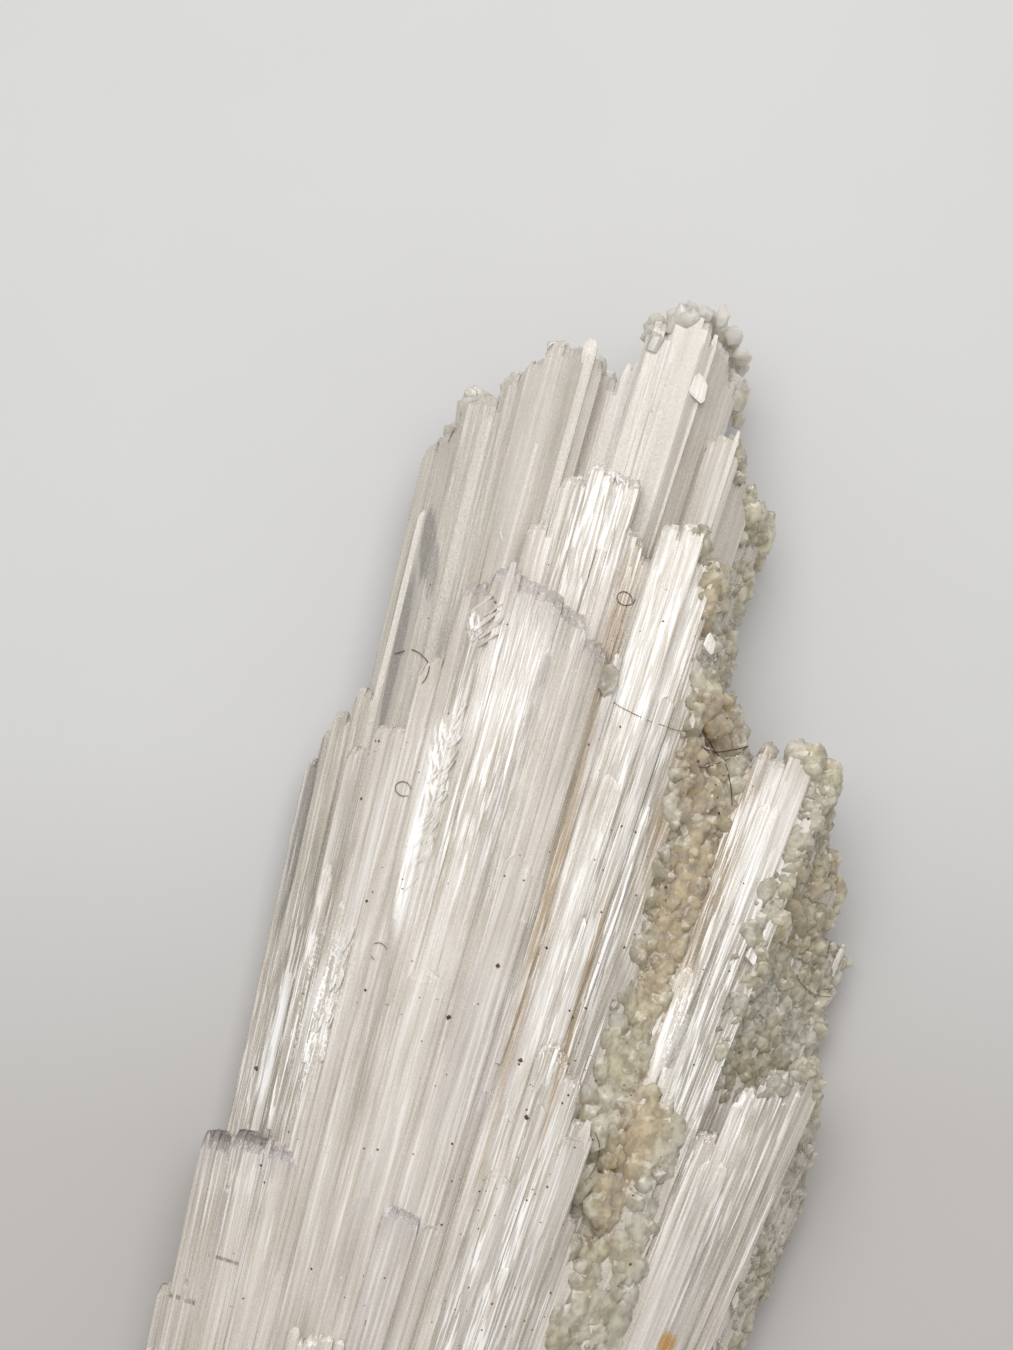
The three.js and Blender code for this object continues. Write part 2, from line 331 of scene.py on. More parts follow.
# the silky material of the striated crystals; ovals are in laid-out mm
silk = {
    "ior": 1.52,
    # white of the crisp lines and dashes: partly the fibres' own, partly painted highlight and glints
    "line": (0.99, 0.975, 0.95),
    "white": (0.905, 0.853, 0.795),
    "cream": (0.86, 0.79, 0.70),
    "grey": (0.78, 0.72, 0.615),
    "gap": (0.62, 0.545, 0.425),
    "shade": (0.68, 0.63, 0.55),
    "frost": (0.74, 0.70, 0.63),
    "pink": (0.81, 0.745, 0.715),
    "facetShade": (0.66, 0.655, 0.63),
    "tan": (0.56, 0.41, 0.235),
    # painted shade near some tips: a greyed glassy end and a dark outline at the very tip
    "endShade": (0.63, 0.575, 0.56),
    "rim": (0.22, 0.185, 0.185),
    "rust": (0.75, 0.42, 0.12),
    "clear": 0.55,  # the most and the least light that passes
    "cloudy": 0.2,
    "dull": (0.12, 0.34),
    "ribs": 0.00003,  # m
    "absorbing": (0.86, 0.82, 0.72),
    "density": 90,
    "aslantBy": -24,  # degrees that the feather's dashes are turned
    # noise stretched along the crystals: how busy across, along and high, where it starts, its detail
    "noise": {
        "fine": ((10, 0.26, 10), 3.1, 2),
        "dashed": ((17, 0.9, 17), 5.9, 0),
        "aslant": ((11, 0.7, 11), 2.6, 0),
        "medium": ((2.6, 0.08, 2.6), 7.7, 3),
        "broad": ((0.9, 0.05, 0.9), 9.3, 1),
        "cloud": ((0.6, 0.35, 0.6), 1.9, 1),
        "grain": ((14, 9, 14), 6.2, 1),
        "ridges": ((18, 1.0, 18), 5.3, 0),
    },
    # ovals: centre across, along, high; reach across, along, high; turned by
    # painted sheen: whiter, less see-through fibres where the light glances off them
    "whiteSheens": [
        ((-2.1, 6.5, 6.5), (0.45, 3.4, 2), 5),
        ((6.2, 2.5, 5), (0.35, 2.3, 2), 8),
        ((7.0, 8.6, 5), (0.8, 2.6, 2), 0),
        ((2.7, 13.4, 6.5), (0.8, 3.2, 2), 0),
        ((0.2, 16.4, 6), (0.5, 1.8, 2), 0),
        ((-0.9, 11.3, 7), (0.9, 2.2, 2), 0),
        ((4.3, -2.6, 6.8), (0.3, 1.8, 2), 3),
        ((2.9, -4, 6.8), (0.35, 2.4, 2), 3),
        ((8.8, 0.6, 4), (0.6, 2.6, 2), 0),
    ],
    "busy": [
        ((-1.0, 9.2, 7), (1.4, 4.6, 3), 0),
        ((2.9, 11.5, 6.5), (1.4, 6.5, 3), 0),
        ((0.3, 16, 6), (1.2, 3.0, 3), 0),
        ((3.0, 4.5, 6.5), (1.4, 6.0, 3), 0),
        ((-4.6, -1, 3.5), (1.6, 6.0, 4), 0),
        ((7, 4, 5), (2.6, 8.5, 3), 20),
        ((3.7, -6, 6.5), (1.7, 6.5, 3), 0),
    ],
    "stills": [((3.7, 17, 4), (1.7, 4.2, 2.2), 0)],
    # painted glints: the glitter, feather and blaze patches get short white dashes, and the feather also
    # painted shade between them
    "glitter": [((-3.65, 0.6, 4.9), (0.75, 2.6, 2), 0), ((6.3, 2.6, 5), (0.4, 1.8, 2), 8)],
    "feather": [((-2.15, 8.3, 6.2), (0.26, 1.3, 2), 8), ((-2.0, 12.2, 6.6), (0.2, 0.5, 2), 15)],
    "blazes": [
        ((-4.88, -1.1, 2.8), (0.24, 2.6, 2), 1),
        ((6.05, 2.5, 5), (0.11, 1.9, 2), 5),
        ((6.84, 3.2, 5), (0.07, 1.1, 2), 5),
        ((-2.15, 5.6, 6.5), (0.2, 2.2, 2), 3),
    ],
    "pinks": [
        ((0.3, -6.5, 7), (0.7, 3.4, 2), 0),
        ((1.4, 0.8, 7), (1.3, 2.8, 2), 0),
        ((-0.9, 12.4, 7), (1.2, 1.8, 2), 0),
        ((-0.3, 20.4, 4.5), (0.5, 1.2, 2), 0),
        ((9.0, -4.6, 5), (0.9, 3.6, 2), 0),
        ((3.4, -6.5, 7), (1.4, 3.2, 2), 0),
    ],
    # painted shade on the darker side facets down the left, which are also clearer
    "shadedFacets": [
        ((-4.0, 11.6, 3), (0.22, 3.4, 3), 2),
        ((-3.75, 14.5, 3.6), (0.3, 1.6, 2), 12),
        ((-5.6, 5.5, 2), (0.25, 4, 3), 0),
    ],
    "tans": [
        ((1.75, 6.5, 6.5), (0.2, 10, 2), 2.5),
        ((1.42, 13.4, 6), (0.28, 2.6, 2), 4),
        ((5.7, 6.5, 5), (0.6, 5, 2), 0),
        ((4.2, 9.5, 5), (0.5, 4, 3), 0),
        ((3.5, 2, 6.5), (0.14, 5, 2), 3),
    ],
    "rusts": [((9.42, -6.0, 5.2), (0.3, 0.34, 0.6), 0)],
}


def milkAndSheenOf(tree, parts, calm, extras):
    # 0 for the clearest fibres, 1 for the milkiest, and more where extras say so; the extras add painted
    # sheen as well as milk
    milkAndSheenLevel = 0.0
    for part, share in parts:
        milkAndSheenLevel = combine(tree, "ADD", wobbled(tree, part, share), milkAndSheenLevel)
    milkAndSheenLevel = times(tree, milkAndSheenLevel, remap(tree, calm, 0, 0.6, 1, 0.6))
    milkAndSheenLevel = remap(tree, milkAndSheenLevel, -0.15, 0.14, 0, 1)
    for part, share in extras:
        milkAndSheenLevel = combine(tree, "ADD", milkAndSheenLevel, times(tree, part, share))
    return milkAndSheenLevel


def silkyScolecite():
    material, tree, shader = nodesOf("silkyScolecite")
    laid = readAttribute(tree, "laid", "Vector")
    tone, milkAndSheen, calm, tip, endShade, stain = (
        readAttribute(tree, name) for name in ("tone", "milkAndSheen", "calm", "tip", "endShade", "stain")
    )
    endShade = times(tree, tip, endShade)
    fine, dashed, medium, broad, cloud, grain, ridges = (
        streaks(tree, laid, *silk["noise"][name])
        for name in ("fine", "dashed", "medium", "broad", "cloud", "grain", "ridges")
    )
    aslant = streaks(tree, placed(tree, laid, tilt=silk["aslantBy"]), *silk["noise"]["aslant"])
    wobble = wobbled(tree, medium, 2.4)
    ovals = ("whiteSheens", "busy", "stills", "glitter", "feather", "blazes", "pinks", "shadedFacets", "tans", "rusts")
    whiteSheens, busy, stills, glitter, feather, blazes, pinks, shadedFacets, tans, rusts = (
        patches(tree, laid, wobble, silk[name]) for name in ovals
    )
    calm = larger(tree, calm, times(tree, stills, 0.7))
    crisp = times(tree, remap(tree, busy, 0, 1, 0.35, 1), remap(tree, calm, 0, 1, 1, 0.15))

    parts = [(fine, 0.14), (medium, 0.26), (broad, 0.30), (cloud, 0.14), (grain, 0.04), (tone, 0.04)]
    milkAndSheenLevel = milkAndSheenOf(tree, parts, calm, [(milkAndSheen, 0.5), (whiteSheens, 0.45)])

    # crisp white lines and short glittering dashes, partly the fibres' own white and partly painted
    # highlight, and painted shade in the darker hairlines between the fibres
    long = times(tree, remap(tree, fine, 0.58, 0.63, 0, 1), crisp)
    short = times(tree, remap(tree, dashed, 0.55, 0.6, 0, 1), remap(tree, medium, 0.40, 0.52, 0.2, 1))
    short = times(tree, short, remap(tree, crisp, 0.3, 1, 0, 1))
    broken = combine(tree, "ADD", times(tree, dashed, 0.55), times(tree, grain, 0.45))
    dashes = larger(tree, long, short)
    # painted glints: white dashes in the glitter, feather and blaze patches
    for patch, pattern, low, high, least in (
        (glitter, broken, 0.49, 0.54, 0),
        (feather, aslant, 0.46, 0.52, 0),
        (blazes, dashed, 0.36, 0.44, 0.35),
    ):
        dashes = larger(tree, dashes, times(tree, patch, remap(tree, pattern, low, high, least, 1)))
    # painted shade in the hairline gaps between the fibres and between the feather's dashes
    gaps = times(tree, remap(tree, fine, 0.43, 0.36, 0, 1), remap(tree, crisp, 0, 1, 0.15, 0.7))
    gaps = larger(tree, gaps, times(tree, feather, remap(tree, aslant, 0.42, 0.38, 0, 0.3)))
    stain = times(tree, combine(tree, "ADD", tans, stain), remap(tree, medium, 0.35, 0.6, 0.4, 0.95))

    color = ramp(tree, milkAndSheenLevel, [(0.1, silk["grey"]), (0.5, silk["cream"]), (0.9, silk["white"])])
    layers = [
        (times(tree, pinks, 0.6), silk["pink"]),
        (remap(tree, crisp, 0.35, 1, 0, 0.4), silk["shade"]),
        (times(tree, calm, 0.75), silk["frost"]),
        (gaps, silk["gap"]),
        (times(tree, shadedFacets, 0.5), silk["facetShade"]),
        (stain, silk["tan"]),
        (times(tree, dashes, 0.95), silk["line"]),
        (times(tree, rusts, 0.9), silk["rust"]),
        # painted shade: the ends of some crystals greyed towards the tip, with a dark painted outline at
        # the very tip
        (remap(tree, endShade, 0, 0.5, 0, 0.65), silk["endShade"]),
        (remap(tree, endShade, 0.76, 0.97, 0, 0.9), silk["rim"]),
    ]
    color = layered(tree, color, layers)

    # how much light each spot lets pass
    passing = remap(tree, milkAndSheenLevel, 0.1, 0.9, silk["clear"], silk["cloudy"])
    passing = larger(tree, passing, times(tree, shadedFacets, 0.65))
    passing = larger(tree, passing, times(tree, calm, 0.5))
    passing = times(tree, passing, remap(tree, dashes, 0, 1, 1, 0.2))
    dull = remap(tree, grain, 0.35, 0.65, *silk["dull"])
    addSurface(tree, shader, color, passing, dull, silk["ior"])
    addBump(tree, shader, ridges, remap(tree, crisp, 0, 1, 0.2, 0.7), silk["ribs"])
    addAbsorption(tree, silk["absorbing"], silk["density"])
    return material


# the small crystals are clearer, with a little light scattered inside
glassy = {
    "ior": 1.52,
    "clean": (0.91, 0.825, 0.67),
    "green": (0.82, 0.73, 0.54),
    "tan": (0.74, 0.575, 0.37),
    "pale": (0.87, 0.81, 0.725),
    "clear": 0.65,
    "cloudy": 0.3,
    "dull": (0.05, 0.25),
    "dents": 0.00004,  # m
    "glow": 0.7,
    "glowTint": (1, 0.9, 0.8),
    "glowReach": 0.0009,  # m
    "absorbing": (0.80, 0.78, 0.66),
    "density": 150,
    "noise": {
        "grain": ((3.0, 2.2, 3.0), 4.4, 2),
        "cloud": ((0.7, 0.5, 0.7), 8.8, 1),
        "dimples": ((9, 6, 9), 5.3, 0),
    },
    "tans": [
        ((4.6, 10.5, 5), (1.0, 2.8, 3), 0),
        ((5.4, 6.5, 5), (1.1, 4.4, 3), 0),
        ((6.2, -1.5, 5), (0.8, 3.2, 3), 0),
        ((8.6, 7.5, 3), (1.2, 2.2, 3), 0),
        ((3.2, 14.5, 6), (0.6, 2, 3), 0),
    ],
    "pales": [((-1.6, 20.6, 4), (3.4, 4.0, 6), 0), ((1.8, 23.4, 4), (2.0, 2.2, 6), 0)],
}


def glassyCrust():
    material, tree, shader = nodesOf("glassyCrust")
    laid = readAttribute(tree, "laid", "Vector")
    grain, cloud, dimples = (
        streaks(tree, laid, *glassy["noise"][name]) for name in ("grain", "cloud", "dimples")
    )
    wobble = wobbled(tree, grain, 2)
    tans, pales = (patches(tree, laid, wobble, glassy[name]) for name in ("tans", "pales"))
    color = ramp(tree, cloud, [(0.38, glassy["green"]), (0.62, glassy["clean"])])
    stained = times(tree, tans, remap(tree, grain, 0.35, 0.6, 0.3, 0.9))
    layers = [(stained, glassy["tan"]), (times(tree, pales, 0.8), glassy["pale"])]
    color = layered(tree, color, layers)
    passing = remap(tree, grain, 0.38, 0.62, glassy["clear"], glassy["cloudy"])
    passing = times(tree, passing, remap(tree, pales, 0, 1, 1, 0.55))
    dull = remap(tree, cloud, 0.3, 0.7, *glassy["dull"])
    addSurface(tree, shader, color, passing, dull, glassy["ior"])
    shader.inputs["Subsurface Weight"].default_value = glassy["glow"]
    shader.inputs["Subsurface Radius"].default_value = glassy["glowTint"]
    shader.inputs["Subsurface Scale"].default_value = glassy["glowReach"]
    addBump(tree, shader, dimples, 0.4, glassy["dents"])
    addAbsorption(tree, glassy["absorbing"], glassy["density"])
    return material


# the striated crystals: each is a row of laths side by side; sizes in mm
sheaf = {
    "seed": 5,
    "overlap": 0.12,
    "strip": (0.07, 0.22),  # across one striation on top, then on the sides and underneath
    "sideStrip": (0.25, 0.5),
    "underStrip": (0.8, 1.4),
    "relief": 0.009,  # that striations stand in and out
    "bevel": (0.045, 0.15),  # off the upper corners, of a crisp and of a calm crystal
    "facet": (0.22, 0.5),  # that a tip rounds off over, of a crisp and of a worn one
    "breaks": 4,  # small steps along each lath
    "breakDepth": (0.01, 0.05),
    "tipLean": (-0.12, 0.25),
    "ragged": (-0.18, 0.08),
    "roundness": (0.15, 0.6),
    "lathWidth": (0.5, 1.5),  # beside its neighbours'
    "lathStep": (-0.05, 0.03),
    "lathHollow": (0.1, 0.45),  # that most undersides stand up
    "lathEnd": (-0.35, 0.2),
    # across: both sides. low: the underside. top and tip: heights and ends from left to right
    "crystals": [
        # the longest ones, lowest and furthest out
        {"across": (-4.4, -3.5), "low": 0, "top": (2.7, 3.9), "tip": (17.9, 18.3, 18.8),
         "laths": 2, "milkAndSheen": -0.2, "calm": 0.6},
        {"across": (-3.6, -2.2), "low": 0, "top": (4.2, 4.5), "tip": (19.2, 19.9, 20.4),
         "laths": 2, "milkAndSheen": -0.2, "calm": 0.6},
        {"across": (-2.4, -0.8), "low": 0.2, "top": (4.7, 5.1, 4.7), "tip": (20.7, 21.7, 21.7, 21.0),
         "laths": 3, "milkAndSheen": -0.1, "calm": 0.6},
        {"across": (-0.9, 0.3), "low": 0, "top": (3.9, 4.1), "tip": (21.0, 21.1, 21.6),
         "laths": 2, "milkAndSheen": 0.1, "calm": 0.6},
        {"across": (0.2, 2.4), "low": 0, "top": (4.7, 4.9, 3.9), "tip": (22.2, 23.8, 23.6, 23.1, 22.1),
         "laths": 4, "milkAndSheen": 0.1, "calm": 0.6},
        {"across": (2.3, 4.1), "low": 0, "top": (4.7, 4.3, 2.6), "tip": (20.5, 19.4, 19.0, 18.2),
         "laths": 3},
        {"across": (4.0, 5.0), "low": 0, "top": (3.3, 2.3), "tip": (15.0, 13.2, 11.8), "laths": 2},
        # the slim ones down the left edge
        {"across": (-5.7, -4.2), "low": 0, "top": (1.8, 2.8, 3.1), "tip": (7.2, 8.8, 9.8, 10.8),
         "laths": 4, "milkAndSheen": -0.2},
        {"across": (-6.8, -5.7), "low": 0, "top": (2.0, 2.9), "tip": (-8.5, -7.9), "laths": 2},
        {"across": (-6.2, -3.1), "low": 0.8, "top": (4.3, 5.1, 5.3), "tip": (-4.0, -3.6, -3.4, -3.5),
         "laths": 3, "endShade": 1},
        # the middle storey
        {"across": (-4.5, -2.2), "low": 2.2, "top": (3.8, 5.2, 5.7), "tip": (8.0, 9.6, 12.2),
         "laths": 3},
        {"across": (-1.3, 0.9), "low": 2.4, "top": (5.9, 6.3, 6.1), "tip": (15.6, 17.3, 18.1, 17.7),
         "laths": 4},
        {"across": (0.8, 2.2), "low": 2.4, "top": (5.8, 5.7), "tip": (16.6, 15.9, 16.4),
         "laths": 2, "stain": 0.1},
        # the top storey: two broad plates with a groove between them
        {"across": (-2.4, 1.8), "low": 3, "top": (6.5, 7.1, 7.3, 7.2, 6.8),
         "tip": (13.5, 14.4, 14.6, 14.0, 13.8, 13.3, 12.7, 12.1), "laths": 7, "endShade": 0.8},
        {"across": (1.86, 4.2), "low": 2.4, "top": (6.6, 6.7, 6.3, 5.8),
         "tip": (16.7, 17.0, 16.2, 14.0, 10.8), "laths": 5},
        {"across": (4.1, 5.0), "low": 2.6, "top": (5.8, 5.2), "tip": (7.4, 5.6, 3.4), "laths": 2},
        {"across": (2.9, 5.0), "low": 3, "top": (7.0, 6.9, 6.4), "tip": (1.9, 1.2, 0.2, -0.9),
         "laths": 3},
        {"across": (4.6, 6.3), "low": 2.6, "top": (6.1, 5.3), "tip": (-2.3, -3.3, -5.0),
         "laths": 2},
        {"across": (-0.1, 0.9), "low": 6, "top": (7.5, 7.55), "tip": (-3.8, -4.0),
         "laths": 1, "endShade": 1},
        {"across": (-1.9, -0.3), "low": 6, "top": (7.4, 7.6), "tip": (-8.9, -7.9), "laths": 2},
        # the floor of the valley between the sheaf and its right-hand branch
        {"across": (4.2, 5.7), "low": 0, "top": (5.3, 4.9), "tip": (12.0, 9.8, 7.6),
         "laths": 2, "stain": 0.3, "milkAndSheen": 0},
        {"across": (5.4, 7.2), "low": 0.2, "top": (5.1, 4.9), "tip": (6.0, 3.4, 1.2),
         "laths": 2, "stain": 0.2, "milkAndSheen": 0.1},
        {"across": (6.0, 8.2), "low": 0, "top": (4.7, 4.2), "tip": (0.0, -0.9, -2.0),
         "laths": 3, "stain": 0.1, "milkAndSheen": -0.2},
        # the right-hand branch, upper bundle
        {"across": (5.4, 7.8), "low": 0, "top": (4.7, 5.3, 4.9), "tip": (10.8, 11.3, 11.5, 11.3),
         "laths": 5},
        {"across": (7.6, 10.1), "low": 0, "top": (4.4, 3.1, 1.5), "tip": (10.8, 10.0, 8.6, 7.4, 5.4),
         "laths": 4},
        # the right-hand branch, lower bundle
        {"across": (7.4, 10.7), "low": 0.2, "top": (4.5, 5.3, 5.2, 4.5),
         "tip": (-1.6, 0.2, 1.9, 2.9, 3.0), "laths": 5, "milkAndSheen": -0.2},
        {"across": (10.5, 11.8), "low": 0, "top": (3.9, 1.9), "tip": (2.7, 1.7, 0.3, -1.4),
         "laths": 3},
    ],
}


def marksOf(values):
    return {name: values.get(name, 0) for name in ("stain", "milkAndSheen", "endShade", "calm")}


def walkSide(dice, start, end, widths):
    # strips from one corner of a section to the next, as pairs of shares of the way
    length = max(math.dist(start, end), 0.01)
    strips = []
    reached = 0.0
    while reached < length:
        width = dice.uniform(*widths)
        if length - reached - width < widths[0]:
            width = length - reached
        strips.append((reached / length, (reached + width) / length))
        reached += width
    return strips


def striatedSection(dice, left, right, low, topLeft, topRight, calm):
    # every strip of the outline: its two ends, the way it faces and its own relief
    bevel = mix(*sheaf["bevel"], calm)
    offCorner = (0.4, 1.6)
    corners = [
        (left, low),
        (right, low),
        (right, topRight - bevel * dice.uniform(*offCorner)),
        (right - bevel, topRight),
        (left + bevel, topLeft),
        (left, topLeft - bevel * dice.uniform(*offCorner)),
    ]
    under, side, top = (sheaf[name] for name in ("underStrip", "sideStrip", "strip"))
    whole = (1, 1)  # a bevel is a single strip
    widths = [under, side, whole, top, whole, side]
    strips = []
    for index, corner in enumerate(corners):
        following = corners[(index + 1) % len(corners)]
        facing = Vector((following[1] - corner[1], corner[0] - following[0])).normalized()
        relief = 0 if index == 0 else sheaf["relief"] * (1 - 1.4 * calm)
        for share in walkSide(dice, corner, following, widths[index]):
            ends = [(mix(corner[0], following[0], s), mix(corner[1], following[1], s)) for s in share]
            depth = -dice.uniform(0, 2) * relief
            depths = [depth, depth + dice.uniform(-1, 0.3) * relief]
            strips.append({"ends": ends, "facing": facing, "depths": depths})
    return strips


def addLath(dice, sides, low, top, tip, marks):
    left, right = sides
    strips = striatedSection(dice, left, right, low, top[0], top[1], marks["calm"])
    middle = (left + right) / 2
    thickness = min(top) - low
    middleHeight = low + thickness / 2
    root = fan["root"] + dice.uniform(0.05, fan["rootStep"])
    tipLean = dice.uniform(*sheaf["tipLean"])
    drops = [0.0] * len(strips)
    roundness = dice.uniform(*sheaf["roundness"]) * min(1, right - left)
    ragged = []
    for strip in strips:
        aside = (strip["ends"][0][0] - middle) * 2 / (right - left)
        ragged.append(dice.uniform(*sheaf["ragged"]) - roundness * aside**2)

    def ring(y, ownDrops, rags=None, inset=0.0, dip=0.0):
        places = []
        for strip, drop, rag in zip(strips, ownDrops, rags or [0.0] * len(strips)):
            for (across, height), depth in zip(strip["ends"], strip["depths"]):
                across += strip["facing"].x * (depth - drop)
                height += strip["facing"].y * (depth - drop)
                across = mix(across, middle, min(2 * inset / (right - left), 0.9))
                height = mix(height, middleHeight, min(2 * inset / thickness, 0.9))
                lean = tipLean * (max(top) - height) if rags else 0
                if height > middleHeight:
                    height -= dip
                places.append((across, y + rag - lean, max(height, low)))
        return places

    rings = [ring(root, drops, inset=0.05), ring(root + dice.uniform(0.05, 0.3), drops)]
    places = sorted(dice.uniform(root + 3, tip - 3) for _ in range(sheaf["breaks"]))
    for y in places:
        changed = list(drops)
        start = dice.randrange(len(strips))
        depth = dice.uniform(*sheaf["breakDepth"]) * (1 - 0.8 * marks["calm"])
        for k in range(dice.randint(1, 8)):
            index = (start + k) % len(strips)
            if strips[index]["facing"].y > 0.5:
                changed[index] += depth
        rings += [ring(y, drops), ring(y + dice.uniform(0.03, 0.2), changed)]
        drops = changed
    # the tip: its edge is ragged, and it rounds off in three steps
    facet = mix(*sheaf["facet"], max(marks["endShade"], marks["calm"]))
    small = [rag * mix(1, 0.5, marks["endShade"]) for rag in ragged]
    rings += [ring(tip - 1.4, drops), ring(tip - facet - 0.03, drops, small)]
    rings.append(ring(tip - facet, drops, small, 0.01, 0.02))
    rings.append(ring(tip - facet * 0.4, drops, small, 0.03, facet * 0.35))
    rings.append(ring(tip, drops, [rag * 0.6 for rag in small], 0.08, facet))
    tips = [0] * (len(rings) - 4) + [0.35, 0.8, 0.9, 1]
    ends = [(middle, y, middleHeight) for y in (root - 0.02, tip - tipLean * thickness / 2)]
    addShell(rings, tips, dice, marks, ends)


# fine needles lying on the laths; sizes in mm
needles = {
    "perSquare": 0.18,  # to a square millimetre of crystal top
    "length": (4, 22),
    "width": (0.08, 0.4),
    "rise": (0.004, 0.03),
    "ridge": (-0.4, 0.4),  # where the ridge runs, from one side to the other
    "shoulder": (0.2, 1),
    "drift": (-0.012, 0.012),
    "point": (0.1, 0.6),
    "slant": (-0.5, 0.5),
    "pastEnd": 0.1,  # the share of them that reach past the crystal's own end
    "beyond": 0.25,
    "bury": 0.15,
}


def addNeedle(dice, across, start, end, topAt, marks):
    width = mix(*needles["width"], dice.random() ** 2)
    rise = dice.uniform(*needles["rise"]) * min(1, width / 0.2)
    ridge = dice.uniform(*needles["ridge"])
    shoulders = [dice.uniform(*needles["shoulder"]) for _ in range(2)]
    length = end - start
    drift = dice.uniform(*needles["drift"]) * length
    point = min(dice.uniform(*needles["point"]), length * 0.3)
    slant = dice.uniform(*needles["slant"])

    def ring(y, share, size, lift):
        middle = across + drift * share
        height = topAt(middle) + (lift - 1) * rise
        half = width / 2 * size
        foot = -needles["bury"]
        outline = [(-half, foot), (half, foot), (half * 0.95, shoulders[1] * rise)]
        outline += [(half * ridge, rise), (-half * 0.95, shoulders[0] * rise)]
        if share == 1:
            return [(middle + a, y + a * slant, height + h * 0.6 - 0.02) for a, h in outline]
        return [(middle + a, y, height + h) for a, h in outline]

    rings = [ring(start, 0, 0.6, -0.3), ring(start + length * 0.1, 0.1, 1, 0.9)]
    rings.append(ring(start + length * 0.5, 0.5, 1, 1))
    rings += [ring(end - point, 0.95, 0.95, 1), ring(end, 1, 0.45, 0.9)]
    addShell(rings, [0, 0, 0, 0.6, 1], dice, marks)


def layNeedles(dice, sides, top, tip, marks):
    left, right = sides
    root = fan["root"] + fan["rootStep"]
    count = (right - left) * (tip - root) * needles["perSquare"] * (1 - 0.9 * marks["calm"])
    for _ in range(round(count)):
        across = dice.uniform(left + 0.1, right - 0.1)
        length = mix(*needles["length"], dice.random() ** 1.5)
        end = dice.uniform(root + 2, tip)
        if dice.random() < needles["pastEnd"]:
            end = tip + needles["beyond"] * dice.random()
        start = max(end - length, root)
        addNeedle(dice, across, start, end, lambda a: mix(*top, (a - left) / (right - left)), marks)


# bands of fine cleavage steps that run aslant; sizes in mm
feathers = {
    "aside": (-0.35, 0.35),
    "width": (0.07, 0.18),
    "rise": (0.01, 0.025),
    "turning": (0.7, 1.2),
    "bury": 0.25,
    # painted highlight: the steps are drawn white, as glints
    "milkAndSheen": 1.2,
    "bands": [
        {"far": (-2.0, 9.6, 6.6), "near": (-2.1, 4.6, 6.6),
         "count": 50, "length": (0.3, 1.0), "slant": 0.45},
        {"far": (-2.0, 12.9, 6.6), "near": (-1.7, 11.8, 6.6),
         "count": 12, "length": (0.4, 1.0), "slant": 0.75},
        {"far": (-3.3, 2.8, 5.1), "near": (-3.6, -1.5, 5.1),
         "count": 30, "length": (0.2, 0.7), "slant": 0.15},
    ],
}


def layFeathers(dice, band):
    for _ in range(band["count"]):
        share = dice.random()
        across, y, height = (mix(a, b, share) for a, b in zip(band["far"], band["near"]))
        across += dice.uniform(*feathers["aside"])
        length = dice.uniform(*band["length"])
        slant = band["slant"] * dice.uniform(*feathers["turning"])
        width = dice.uniform(*feathers["width"])
        rise = dice.uniform(*feathers["rise"])
        rings = []
        for part, size in ((0, 0.4), (0.3, 1), (0.8, 0.9), (1, 0.3)):
            middle = across + (part - 0.5) * length * slant
            along = y + (part - 0.5) * length
            ground = surfaceAt(middle, along)
            half = width / 2 * size
            foot = -feathers["bury"]
            outline = [(-half, foot), (half, foot), (half, rise * size * 0.6), (-half * 0.4, rise * size)]
            rings.append([(middle + a, along, ground + h) for a, h in outline])
        # none where the ground drops away
        heights = [ring[0][2] for ring in rings]
        if max(heights) - min(heights) > 0.3 or abs(heights[0] - height) > 0.8:
            continue
        addShell(rings, [0] * 4, dice, marksOf({"milkAndSheen": feathers["milkAndSheen"]}))


# blunt plates a little proud of the rest
plates = {
    "edge": 0.04,
    "bury": 0.3,
    "bow": (-0.1, 0.2),
    # both sides, both ends, how far each stands up, how milky it is; the last two are the milkiest, painted
    # white as highlights
    "laid": [
        ((4.15, 4.95), (-24, -1.1), 0.10, -0.15),
        ((2.45, 3.3), (-24, -2.5), 0.10, -0.15),
        ((3.2, 3.6), (-9, -0.4), 0.06, -0.1),
        ((5.1, 5.5), (-20, -3.4), 0.08, 0.3),
        ((3.7, 4.05), (-24, -5.2), 0.08, 0.2),
        ((1.0, 1.9), (-24, -4.6), 0.04, 0.1),
        ((-1.3, -0.2), (-24, 2.4), 0.03, 0),
        ((0.4, 1.2), (-12, 6.2), 0.03, 0.2),
        ((2.2, 2.75), (-2, 9.2), 0.06, 0.4),
        ((3.0, 3.4), (0, 11.8), 0.05, 0.5),
        ((8.3, 9.2), (-24, -0.6), 0.06, 0.1),
        ((6.3, 6.9), (0, 9.8), 0.07, 0.6),
        ((5.9, 6.3), (-1, 4.6), 0.09, 1),
        ((-5.0, -4.72), (-5.5, 1.3), 0.08, 2),
    ],
}


# small cleavage faces, painted bright white as glints
glints = {
    "slope": 0.08,
    "bury": 0.5,
    "milkAndSheen": 3,
    # where each is, how long, how wide
    "faces": [
        ((1.62, 21.2, 4.75), 0.7, 0.42),
        ((3.75, 13.6, 6.62), 0.45, 0.3),
        ((3.95, 11.35, 6.45), 0.3, 0.16),
        ((7.55, 5.4, 5.25), 0.32, 0.34),
        ((11.0, -4.3, 3.6), 0.4, 0.2),
        ((-2.0, 15.3, 4.95), 0.16, 0.12),
        ((0.4, 17.6, 6.2), 0.2, 0.12),
    ],
}


